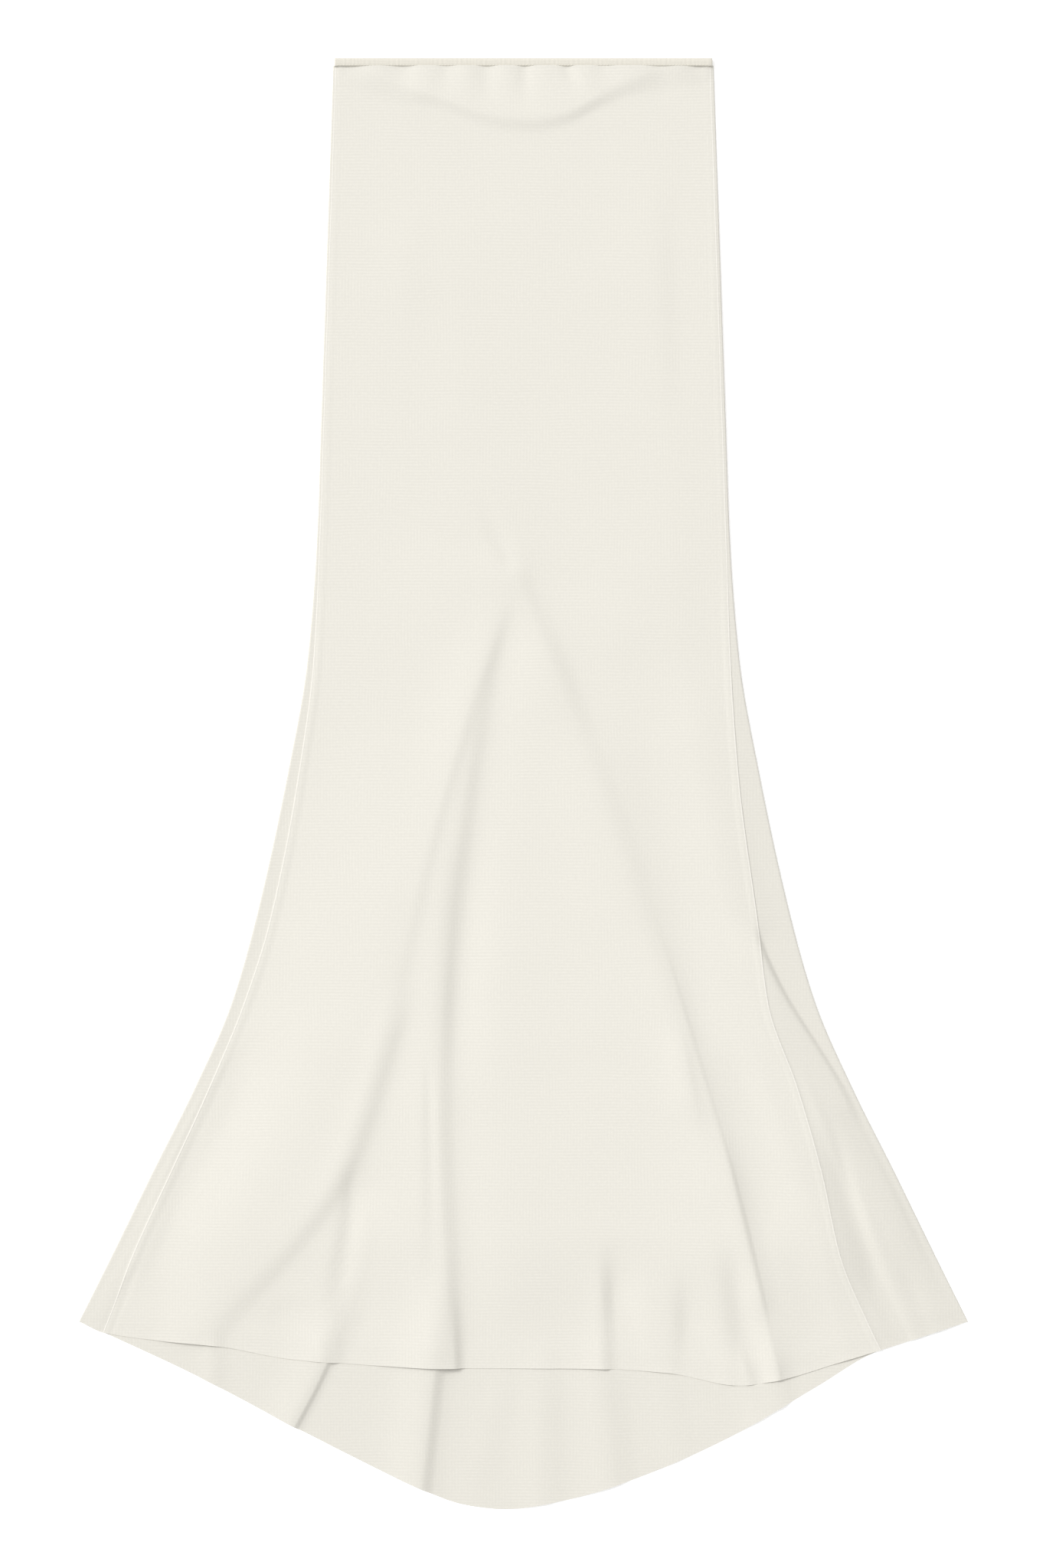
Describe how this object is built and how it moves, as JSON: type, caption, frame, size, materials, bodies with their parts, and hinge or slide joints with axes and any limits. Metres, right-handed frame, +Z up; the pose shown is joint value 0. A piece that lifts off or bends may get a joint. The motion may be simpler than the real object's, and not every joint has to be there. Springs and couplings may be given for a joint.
{
  "type": "skirt",
  "caption": "Long pull-on fishtail skirt in sheer ivory jersey, laid flat with the front up: narrow elastic waist, slim hips, flared hem with soft folds, longer dipped back.",
  "frame": {"origin": "on the ground under the middle of the skirt's box", "axes": "+Z up from the ground, +Y towards the waist, +X to the right seen from above with the front up"},
  "size_m": [0.7383, 1.2108, 0.0157],
  "materials": {
    "sheer_jersey_front": "matte sheer knit, faint crosswise rib, ivory",
    "sheer_jersey_back": "matte sheer knit, faint crosswise rib, ivory",
    "jersey_over_elastic": "matte jersey folded over narrow elastic, topstitched"
  },
  "bodies": {
    "root": {"front_panel": "sheer_jersey_front", "back_panel": "sheer_jersey_back", "waistband": "jersey_over_elastic"}
  },
  "joints": []
}
